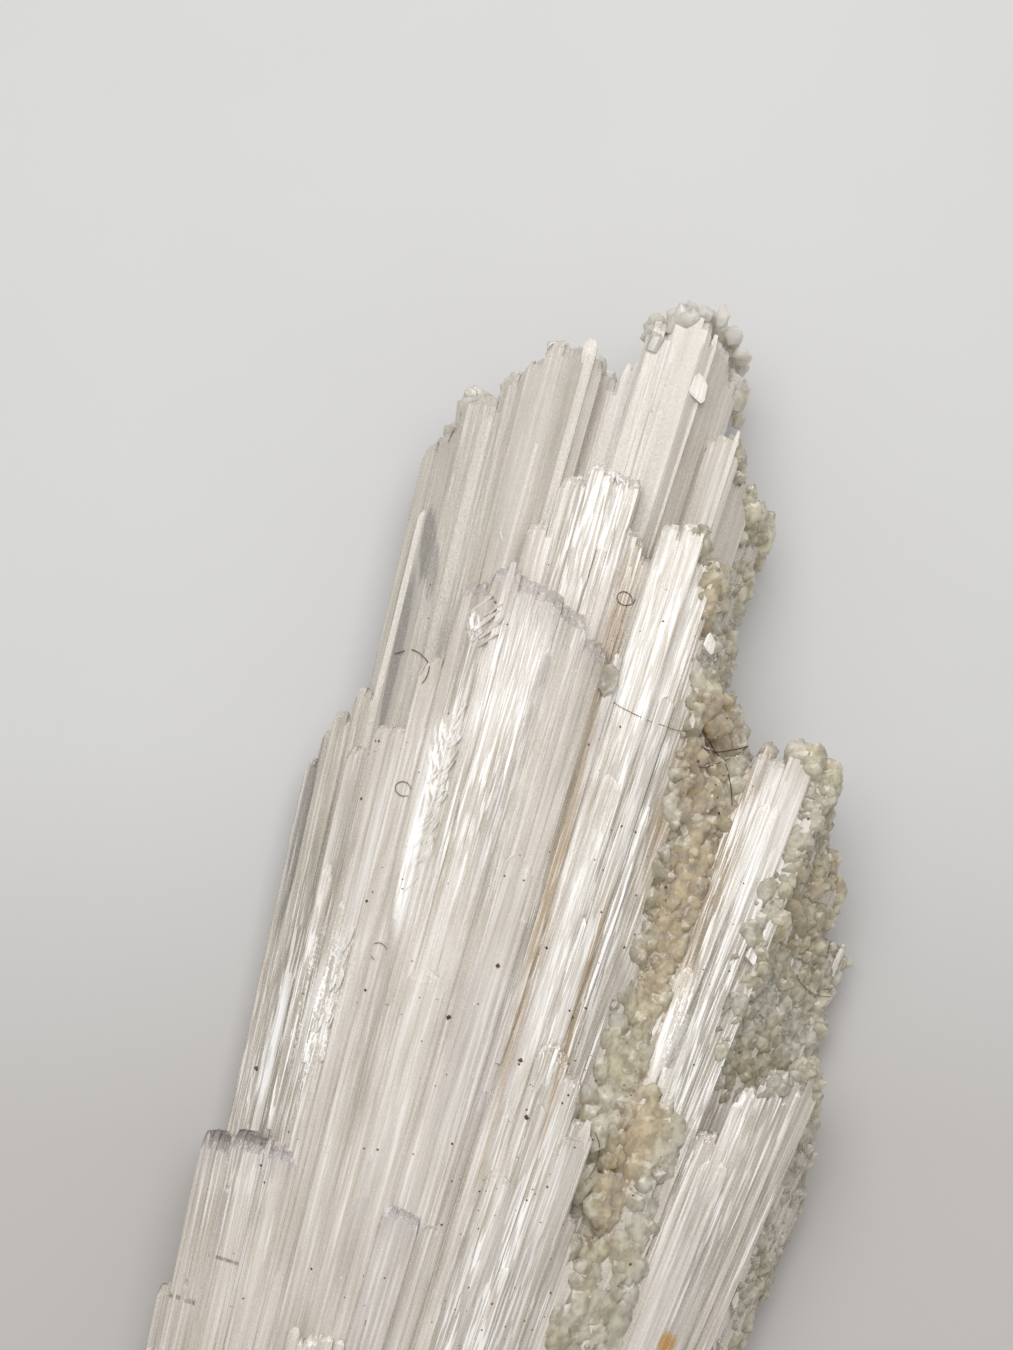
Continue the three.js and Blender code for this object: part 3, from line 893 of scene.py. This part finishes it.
def addGlint(dice, place, length, width):
    across, y, height = place
    slope = glints["slope"]
    rings = []
    for share, size in ((0, 0.7), (0.15, 1), (0.8, 0.85), (1, 0.5)):
        along = y + (share - 0.5) * length
        half = width / 2 * size
        foot = height - glints["bury"]
        corners = [(-half, 0, foot), (half, 0, foot)]
        corners += [(half, -slope, height - 0.02), (-half, slope, height + 0.05)]
        rings.append([(across + a, along + b, level) for a, b, level in corners])
    addShell(rings, [0] * 4, dice, marksOf({"milkAndSheen": glints["milkAndSheen"]}))


def surfaceAt(across, y):
    # height of the laid-out crystals at a place
    highest = 0.0
    for crystal in sheaf["crystals"]:
        left, right = crystal["across"]
        share = (across - left) / (right - left)
        if 0 <= share <= 1 and y < profile(crystal["tip"], share):
            highest = max(highest, profile(crystal["top"], share))
    return highest


def addPlate(dice, across, along, rise, milkAndSheen):
    left, right = across
    start, end = along
    heights = [surfaceAt(side, end - 0.6) for side in across]
    edge = plates["edge"]
    rounding = (right - left) * 0.4
    bow = dice.uniform(*plates["bow"])

    def ring(y, inset, lift):
        foot = -plates["bury"]
        outline = [(left, foot), (right, foot), (right, 0.5)]
        outline += [(right - edge, 1), (left + edge, 1), (left, 0.5)]
        places = []
        for side, level in outline:
            share = (side - left) / (right - left)
            height = mix(*heights, share) + (level if level < 0 else level * rise * lift)
            drawnIn = mix(left + inset, right - inset, share)
            places.append((drawnIn, y - bow * share, height))
        return places

    rings = [ring(start + 1, 0.05, 0), ring(start + 1.6, 0, 1), ring(end - rounding, 0, 1)]
    rings += [ring(end - rounding * 0.4, rounding * 0.25, 0.9), ring(end, rounding * 0.7, 0.4)]
    middle = (left + right) / 2
    height = mix(*heights, 0.5) - 0.1
    ends = [(middle, y, height) for y in (start + 0.95, end + 0.05)]
    addShell(rings, [0, 0, 0, 0.3, 0.6], dice, marksOf({"milkAndSheen": milkAndSheen, "calm": 0.2}), ends)


def addCrystal(dice, crystal):
    # a row of laths of uneven widths, each with its own needles
    across = crystal["across"]
    overlap = sheaf["overlap"]
    marks = marksOf(crystal)
    widths = [dice.uniform(*sheaf["lathWidth"]) for _ in range(crystal["laths"])]
    total = sum(widths)
    reached = 0.0
    for width in widths:
        shares = (reached / total, (reached + width) / total)
        reached += width
        step = dice.uniform(*sheaf["lathStep"]) * (1 - 0.8 * marks["calm"])
        raised = 0 if dice.random() < 0.4 else dice.uniform(*sheaf["lathHollow"])
        sides = [mix(*across, shares[0]) - overlap, mix(*across, shares[1]) + overlap]
        top = [profile(crystal["top"], share) + step for share in shares]
        tip = profile(crystal["tip"], sum(shares) / 2) + dice.uniform(*sheaf["lathEnd"])
        addLath(dice, sides, crystal["low"] + raised, top, tip, marks)
        layNeedles(dice, sides, top, tip, marks)


def makeBlades():
    dice = random.Random(sheaf["seed"])
    for crystal in sheaf["crystals"]:
        addCrystal(dice, crystal)
    for plate in plates["laid"]:
        addPlate(dice, *plate)
    for glint in glints["faces"]:
        addGlint(dice, *glint)
    for band in feathers["bands"]:
        layFeathers(dice, band)
    return finishPiece(fuseBench("striatedCrystals"), "striatedCrystals", silkyScolecite())


blades = makeBlades()

# the crust of small clear crystals
crust = {
    "seed": 8,
    "crease": 32,  # degrees between faces that still look rounded
    "spike": {
        "slender": (1.2, 2.0),  # its length for its width
        "flat": (0.65, 1),
        "skew": (0.8, 1.15),
        "slant": (-0.4, 0.4),
        "point": (0.2, 0.45),
        "sunk": (0.6, 0.85),
    },
    "lump": {
        "sides": 9,
        "rings": (-30, 10, 48),  # degrees up from its waist
        "stretch": ((0.7, 1.0), (0.8, 1.4), (0.7, 1.1)),
        "flat": 0.2,
        "skew": (0.75, 1.15),
        "uneven": (0.9, 1.1),
        "lean": (5, 45),  # degrees
        "sunk": 0.25,
    },
    # inner and outer: the lines between which a field lies; reach and lift: which way its prisms point
    "fields": [
        # the worn ends of the left-hand crystals
        {"inner": [(-4.2, 18.0, 2.6), (-3.3, 19.4, 3.8), (-2.4, 20.9, 4.3), (-1.6, 21.9, 4.7),
                   (-0.8, 21.3, 4.0), (0.2, 21.7, 3.8)],
         "outer": [(-4.1, 18.0, 0.8), (-3.2, 19.3, 1.2), (-2.3, 20.8, 1.4), (-1.6, 21.8, 1.4),
                   (-0.7, 21.2, 1.3), (0.2, 21.7, 1.2)],
         "count": 170, "size": (0.18, 0.45), "reach": (-0.35, 0.2), "lift": (-0.1, 0.3), "lumps": 0.5,
         "lumpSize": (0.15, 0.34)},
        # the furthest tip and its right-hand edge
        {"inner": [(0.4, 22.5, 4.6), (1.4, 23.7, 4.7), (2.2, 23.2, 4.0), (2.5, 21.4, 3.9)],
         "outer": [(0.5, 22.4, 1.8), (1.6, 23.6, 1.6), (2.6, 22.9, 1.5), (2.8, 21.2, 1.6)],
         "count": 150, "size": (0.18, 0.45), "reach": (-0.25, 0.35), "lift": (-0.1, 0.3), "lumps": 0.6,
         "lumpSize": (0.18, 0.36)},
        # the ledge below it
        {"inner": [(2.8, 20.2, 4.5), (3.5, 19.4, 4.6), (3.9, 18.2, 3.8), (4.1, 15.4, 3.8),
                   (4.6, 13.0, 3.8)],
         "outer": [(2.9, 20.2, 2.0), (3.9, 19.0, 1.8), (4.3, 17.8, 1.4), (4.4, 15.0, 1.4),
                   (5.1, 12.4, 1.4)],
         "count": 280, "size": (0.18, 0.5), "reach": (0.1, 0.9), "lift": (0, 0.7), "lumps": 0.4,
         "lumpSize": (0.18, 0.42)},
        # the right-hand brow of the top storey
        {"inner": [(2.4, 16.9, 6.7), (3.5, 15.4, 6.5), (3.8, 13.0, 6.4), (4.0, 11.0, 6.2)],
         "outer": [(2.9, 16.8, 5.8), (4.2, 15.0, 5.4), (4.3, 13.0, 5.2), (4.6, 10.6, 5.0)],
         "count": 180, "size": (0.15, 0.45), "reach": (0.1, 0.9), "lift": (0, 0.7), "lumps": 0.5,
         "lumpSize": (0.15, 0.42)},
        # the valley, far half
        {"inner": [(3.7, 13.0, 6.2), (4.1, 10.0, 6.2), (4.3, 8.0, 6.0), (4.6, 6.0, 6.0),
                   (4.8, 3.0, 5.9)],
         "outer": [(5.0, 12.4, 4.3), (5.7, 10.2, 5.0), (5.7, 8.0, 5.0), (5.7, 6.0, 4.9),
                   (5.7, 3.0, 4.9)],
         "count": 360, "size": (0.2, 0.55), "reach": (-0.2, 0.7), "lift": (0.2, 1.2), "lumps": 0.6,
         "lumpSize": (0.25, 0.55)},
        # the valley, near half: larger and smoother
        {"inner": [(4.8, 2.6, 5.9), (4.8, 0.4, 6.1), (5.1, -1.4, 6.2), (5.8, -4.0, 5.9),
                   (6.1, -8.0, 5.8), (6.5, -14, 5.5)],
         "outer": [(5.7, 1.4, 5.0), (7.0, 0, 5.0), (7.5, -1.4, 5.1), (7.9, -4.0, 5.1), (8.0, -7.6, 5.1),
                   (7.6, -14, 5.0)],
         "count": 330, "size": (0.2, 0.5), "reach": (-0.2, 0.7), "lift": (0.2, 1.2), "lumps": 0.8,
         "lumpSize": (0.4, 0.85)},
        # packed into the foot of the step beside the valley
        {"inner": [(4.3, 12.6, 4.6), (4.5, 9.5, 5.0), (4.9, 6.0, 5.1), (5.1, 3.0, 5.2), (5.4, 0, 5.5),
                   (5.9, -3.0, 5.8), (6.3, -8.0, 5.6), (6.4, -18, 5.2)],
         "outer": [(4.9, 12.2, 3.8), (5.1, 9.5, 4.3), (5.4, 6.0, 4.6), (5.6, 3.0, 4.9), (6.1, 0, 4.9),
                   (6.6, -3.0, 5.1), (6.9, -8.0, 5.0), (6.8, -18, 4.9)],
         "count": 170, "size": (0.3, 0.6), "reach": (-0.2, 0.7), "lift": (0.2, 1.2), "lumps": 0.8,
         "lumpSize": (0.3, 0.55), "packed": True},
        # the head of the valley
        {"inner": [(4.3, 12.4, 4.2), (4.6, 11.5, 4.4), (4.9, 9.5, 4.5)],
         "outer": [(4.9, 12.2, 3.2), (5.7, 11.0, 3.8), (5.9, 9.0, 4.4)],
         "count": 110, "size": (0.25, 0.6), "reach": (-0.2, 0.7), "lift": (0.1, 0.9), "lumps": 0.8,
         "lumpSize": (0.3, 0.55), "packed": True},
        # the right-hand flank of the upper bundle
        {"inner": [(6.0, 11.4, 4.8), (7.2, 11.0, 5.0), (7.5, 9.2, 4.9), (7.0, 7.0, 5.0),
                   (6.9, 5.2, 5.0), (7.1, 3.6, 4.9), (7.6, 2.2, 4.9)],
         "outer": [(7.0, 11.7, 3.2), (9.0, 10.2, 2.4), (10.0, 8.2, 1.6), (10.3, 6.2, 1.2),
                   (10.4, 5.0, 1.2), (10.5, 3.9, 1.2), (10.6, 2.9, 1.2)],
         "count": 960, "size": (0.15, 0.5), "reach": (0.3, 1.1), "lift": (0.1, 1.1), "lumps": 0.4,
         "lumpSize": (0.15, 0.45)},
        # the right-hand edge of the lower bundle
        {"inner": [(8.4, 1.3, 4.9), (9.5, 2.9, 5.0), (10.5, 2.7, 4.6), (11.1, 0.4, 3.9),
                   (11.1, -4.0, 3.7), (11.2, -10.0, 3.3)],
         "outer": [(9.0, 2.0, 3.0), (10.3, 3.2, 2.6), (11.5, 1.8, 1.8), (11.9, -0.8, 1.2),
                   (11.9, -5.0, 1.2), (11.9, -10.0, 1.2)],
         "count": 380, "size": (0.15, 0.5), "reach": (0.2, 1.0), "lift": (0, 0.8), "lumps": 0.4,
         "lumpSize": (0.15, 0.4)},
    ],
}


def alongLine(line, share):
    return Vector([profile([point[axis] for point in line], share) for axis in range(3)])


def addSpike(dice, foot, direction, length, width):
    # a prism of four to six sides with a low point, a little flattened
    along = direction.normalized()
    side = Vector((0, 0, 1)).cross(along).normalized()
    up = along.cross(side)
    sides = dice.choice((4, 5, 6))
    turn = dice.uniform(0, math.pi)
    spike = crust["spike"]
    flat = dice.uniform(*spike["flat"])
    skew = [dice.uniform(*spike["skew"]) for _ in range(sides)]

    def ring(distance, radius, slant=0.0):
        places = []
        for i in range(sides):
            angle = turn - 2 * math.pi * i / sides
            across = math.cos(angle) * radius * skew[i]
            rise = math.sin(angle) * radius * skew[i] * flat
            places.append(tuple(foot + along * (distance + slant * across) + side * across + up * rise))
        return places

    slant = dice.uniform(*spike["slant"])
    point = width * dice.uniform(*spike["point"])
    rings = [ring(0, width * 0.4), ring(length - point, width * 0.5, slant)]
    tip = foot + along * length + side * dice.uniform(-0.15, 0.15) * width
    addShell(rings, [0, 1], dice, ends=[tuple(foot - along * 0.02), tuple(tip)])


def addLump(dice, place, radius):
    # a rounded, lopsided flake lying against the others like a shingle
    lump = crust["lump"]
    sides = lump["sides"]
    wide, long, high = (dice.uniform(*span) for span in lump["stretch"])
    high *= min(0.55, lump["flat"] / radius)
    turn = dice.uniform(0, math.pi)
    lean = math.radians(dice.uniform(*lump["lean"]) * min(1, 0.35 / radius))
    tip = Matrix.Rotation(lean, 3, (1, dice.uniform(-0.6, 0.6), 0))
    skew = [dice.uniform(*lump["skew"]) for _ in range(sides)]
    rings = []
    for latitude in lump["rings"]:
        level = math.sin(math.radians(latitude)) * high
        ring = []
        for i in range(sides):
            angle = turn - 2 * math.pi * i / sides
            size = skew[i] * math.cos(math.radians(latitude)) * dice.uniform(*lump["uneven"])
            corner = Vector((math.cos(angle) * size * wide, math.sin(angle) * size * long, level))
            ring.append(tuple(place + tip @ corner * radius))
        rings.append(ring)
    ends = [tuple(place + tip @ Vector((0, 0, way * high)) * radius) for way in (-0.75, 0.97)]
    addShell(rings, [0] * 3, ends=ends)


def seatOn(tree, place, outward):
    # the nearest spot of the crystals below a laid-out place, looking back along outward
    start = fanned(place + outward * 3)
    toward = (fanned(place) - start).normalized()
    hit = tree.ray_cast(start, toward, 6 * mm)[0]
    return Vector(unfanned(hit)) if hit else Vector(place)


def makeCrust(tree):
    dice = random.Random(crust["seed"])
    for field in crust["fields"]:
        for _ in range(field["count"]):
            share = dice.random()
            inner, outer = (alongLine(field[name], share) for name in ("inner", "outer"))
            place = inner.lerp(outer, dice.random())
            direction = Vector((dice.uniform(*field["reach"]), 1, dice.uniform(*field["lift"])))
            width = mix(*field["size"], dice.random() ** 1.6)
            length = width * dice.uniform(*crust["spike"]["slender"])
            if not field.get("packed"):
                place = seatOn(tree, place, Vector((direction.x, 0.3, 0.6)).normalized())
            if dice.random() < field["lumps"]:
                radius = mix(*field["lumpSize"], dice.random() ** 1.5)
                addLump(dice, place - Vector((0, 0, radius * crust["lump"]["sunk"])), radius)
                continue
            foot = place - direction.normalized() * length * dice.uniform(*crust["spike"]["sunk"])
            addSpike(dice, foot, direction, length, width)
    mesh = fuseBench("crustCrystals")
    mesh.polygons.foreach_set("use_smooth", [True] * len(mesh.polygons))
    mesh.set_sharp_from_angle(angle=math.radians(crust["crease"]))
    return finishPiece(mesh, "crustCrystals", glassyCrust())


def treeOf(piece):
    mesh = piece.data
    return BVHTree.FromPolygons([v.co for v in mesh.vertices], [p.vertices for p in mesh.polygons])


bladeTree = treeOf(blades)
crustCrystals = makeCrust(bladeTree)

# dust and stray hairs caught on the crystals; sizes in mm
dust = {
    "seed": 21,
    "specks": 280,
    "size": (0.022, 0.055),
    "bigSize": 0.085,
    "strewn": ((-4.5, 5), (-20, 15)),
    "gathered": (5.0, 1.6),  # the middle and the spread of those along the valley
    "valley": (-12, 12),
    "dark": (0.05, 0.035, 0.022),
    "rust": (0.20, 0.11, 0.05),
    "big": [(-5.25, -1.7), (3.05, -0.9), (1.0, 3.0), (3.4, 2.2), (0.1, 1.2), (2.4, 0.6)],
    "hairSteps": 26,
    "hairLift": 0.02,
    # where each starts, the way it lies and how much it curls in degrees, its length and thickness
    "hairs": [
        ((-3.0, 10.4), 60, 160, 2.0, 0.02),
        ((1.6, 14.3), 80, 330, 1.5, 0.016),
        ((1.9, 11.2), -20, 40, 2.6, 0.011),
        ((-2.6, 7.3), 100, 260, 1.2, 0.014),
        ((-2.1, 2.6), 120, 240, 1.0, 0.013),
        ((4.4, 10.8), 10, 60, 2.2, 0.02),
        ((4.3, 11.3), -25, -50, 2.4, 0.02),
        ((4.5, 10.2), 30, 40, 1.9, 0.018),
        ((5.3, -2.2), 60, 90, 1.6, 0.016),
        ((9.0, 5.4), -50, 80, 1.4, 0.014),
    ],
}


def dustMaterial():
    material, tree, shader = nodesOf("driedDust")
    place = addNode(tree, "ShaderNodeTexCoord").outputs["Object"]
    grain = streaks(tree, place, (900, 900, 900), 3.3, detail=2)
    color = ramp(tree, grain, [(0.4, dust["dark"]), (0.62, dust["rust"])])
    tree.links.new(color, shader.inputs["Base Color"])
    shader.inputs["Roughness"].default_value = 0.7
    return material


def topSpot(trees, across, y):
    # the highest spot of the crystals at this place, or nothing
    above = fanned((across, y, 12))
    hits = [tree.ray_cast(above, Vector((0, 0, -1)))[0] for tree in trees]
    hits = [hit for hit in hits if hit]
    return max(hits, key=lambda hit: hit.z) if hits else None


def addSpeck(dice, points, faces, spot, size):
    # a lopsided grain with eight faces
    first = len(points)
    for way in ((1, 0, 0), (0, 1, 0), (-1, 0, 0), (0, -1, 0), (0, 0, 1), (0, 0, -1)):
        uneven = Vector([dice.uniform(-0.25, 0.25) for _ in range(3)])
        points.append(spot + (Vector(way) + uneven) * size * mm)
    for i in range(4):
        j = (i + 1) % 4
        faces.append((first + i, first + j, first + 4))
        faces.append((first + j, first + i, first + 5))


def addHair(dice, points, faces, trees, start, way, curl, length, thick):
    # a curled thread that follows the crystals under it
    steps = dust["hairSteps"]
    across, y = start
    way = math.radians(way)
    path = []
    for _ in range(steps):
        spot = topSpot(trees, across, y)
        if spot:
            path.append(spot + Vector((0, 0, (thick + dust["hairLift"]) * mm)))
        way += math.radians(curl) / steps * dice.uniform(0.3, 1.7)
        across += math.cos(way) * length / steps
        y += math.sin(way) * length / steps
    for _ in range(3):
        inner = [(path[i - 1] + path[i] * 2 + path[i + 1]) / 4 for i in range(1, len(path) - 1)]
        path = [path[0], *inner, path[-1]]
    first = len(points)
    for i, spot in enumerate(path):
        along = (path[min(i + 1, len(path) - 1)] - path[max(i - 1, 0)]).normalized()
        side = along.cross(Vector((0, 0, 1))).normalized()
        up = side.cross(along)
        for angle in (45, 135, 225, 315):
            turn = math.radians(angle)
            points.append(spot + (side * math.cos(turn) + up * math.sin(turn)) * thick * mm)
    last = first + (len(path) - 1) * 4
    for here in range(first, last, 4):
        for i in range(4):
            j = (i + 1) % 4
            faces.append((here + i, here + j, here + 4 + j, here + 4 + i))
    faces.append((first + 3, first + 2, first + 1, first))
    faces.append((last, last + 1, last + 2, last + 3))


def makeDust(trees):
    dice = random.Random(dust["seed"])
    points = []
    faces = []
    half = dust["specks"] // 2
    spots = [tuple(dice.uniform(*span) for span in dust["strewn"]) for _ in range(half)]
    spots += [(dice.gauss(*dust["gathered"]), dice.uniform(*dust["valley"])) for _ in range(half)]
    for across, y in spots:
        spot = topSpot(trees, across, y)
        if spot and spot.z > 2 * mm:
            addSpeck(dice, points, faces, spot, mix(*dust["size"], dice.random() ** 3))
    for across, y in dust["big"]:
        spot = topSpot(trees, across, y)
        if spot:
            addSpeck(dice, points, faces, spot, dust["bigSize"])
    for hair in dust["hairs"]:
        addHair(dice, points, faces, trees, *hair)
    mesh = bpy.data.meshes.new("dustAndHairs")
    mesh.from_pydata(points, [], faces)
    mesh.update()
    mesh.materials.append(dustMaterial())
    piece = bpy.data.objects.new("dustAndHairs", mesh)
    bpy.context.scene.collection.objects.link(piece)
    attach(piece, "root")
    print("dust and hairs faces:", len(mesh.polygons))


# the loose flake; sizes in mm
flake = {
    "center": (1.58, 11.75),
    "outline": [(0, 0.5), (0.22, 0.3), (0.3, 0), (0.24, -0.3),
                (0.05, -0.52), (-0.16, -0.3), (-0.26, 0.05), (-0.18, 0.34)],
    "above": 0.03,
    "half": 0.03,  # half its thickness
    "slope": 0.06,
}


def makeFlake(trees):
    # a thin tan flake lying loose beside the stained groove
    across, y = flake["center"]
    low = unfanned(topSpot(trees, across, y))[2] + flake["above"]
    rings = []
    for level, size in ((0, 0.9), (1, 1), (2, 0.9)):
        height = low + level * flake["half"]
        ring = [(across + a * size, y + b * size, height + flake["slope"] * b) for a, b in flake["outline"]]
        rings.append(ring)
    addShell(rings, [0] * 3, ends=[(across, y, low), (across, y, low + 0.05)])
    mesh = bench.objects[0].data.copy()
    finishPiece(mesh, "looseFlake", bpy.data.materials["glassyCrust"])


crustTree = treeOf(crustCrystals)
makeDust([bladeTree, crustTree])
makeFlake([bladeTree, crustTree])
bpy.data.objects.remove(bench.objects[0])
bpy.data.collections.remove(bench)

# floor, lights and sky
studio = {
    "floor": (0.575, 0.572, 0.567),
    "floorDull": (0.56, 0.557, 0.552),
    "floorShade": (0.48, 0.462, 0.447),
    "floorHalf": 0.6,  # m
    "dimFrom": 11,  # mm
    "dimLength": 12,
    "sky": 0.49,
    "keyPower": 0.125,
    "keySize": 0.1,
    "keyPlace": (-0.014, 0.05, 0.115),
}


def makeFloor():
    material, tree, shader = nodesOf("paleTable")
    place = addNode(tree, "ShaderNodeTexCoord").outputs["Object"]
    mottle = streaks(tree, place, (60, 60, 60), 2.2, detail=3)
    color = ramp(tree, mottle, [(0.35, studio["floorDull"]), (0.65, studio["floor"])])
    # painted shade: the table darkens softly towards the root
    shifted = placed(tree, place, "TEXTURE", (0, studio["dimFrom"] * mm, 0), view["lean"])
    along = addNode(tree, "ShaderNodeSeparateXYZ")
    tree.links.new(shifted, along.inputs["Vector"])
    dim = remap(tree, along.outputs["Y"], 0, -studio["dimLength"] * mm, 0, 1)
    color = mixColors(tree, dim, color, studio["floorShade"])
    tree.links.new(color, shader.inputs["Base Color"])
    shader.inputs["Roughness"].default_value = 0.6
    mesh = bpy.data.meshes.new("floor")
    half = studio["floorHalf"]
    corners = [(-half, -half, 0), (half, -half, 0), (half, half, 0), (-half, half, 0)]
    mesh.from_pydata(corners, [], [(0, 1, 2, 3)])
    floor = bpy.data.objects.new("floor", mesh)
    floor.data.materials.append(material)
    bpy.context.scene.collection.objects.link(floor)


def makeLights():
    world = bpy.data.worlds.new("sky")
    bpy.context.scene.world = world
    world.use_nodes = True
    background = world.node_tree.nodes["Background"]
    background.inputs["Color"].default_value = (1, 1, 1, 1)
    background.inputs["Strength"].default_value = studio["sky"]
    key = bpy.data.lights.new("key", "AREA")
    key.energy = studio["keyPower"]
    key.size = studio["keySize"]
    lamp = bpy.data.objects.new("key", key)
    lamp.location = studio["keyPlace"]
    lamp.rotation_euler = (Vector((0, 0, 0)) - lamp.location).to_track_quat("-Z", "Y").to_euler()
    bpy.context.scene.collection.objects.link(lamp)
    bpy.context.scene.view_settings.view_transform = "Standard"


makeFloor()
makeLights()
print("studio set")
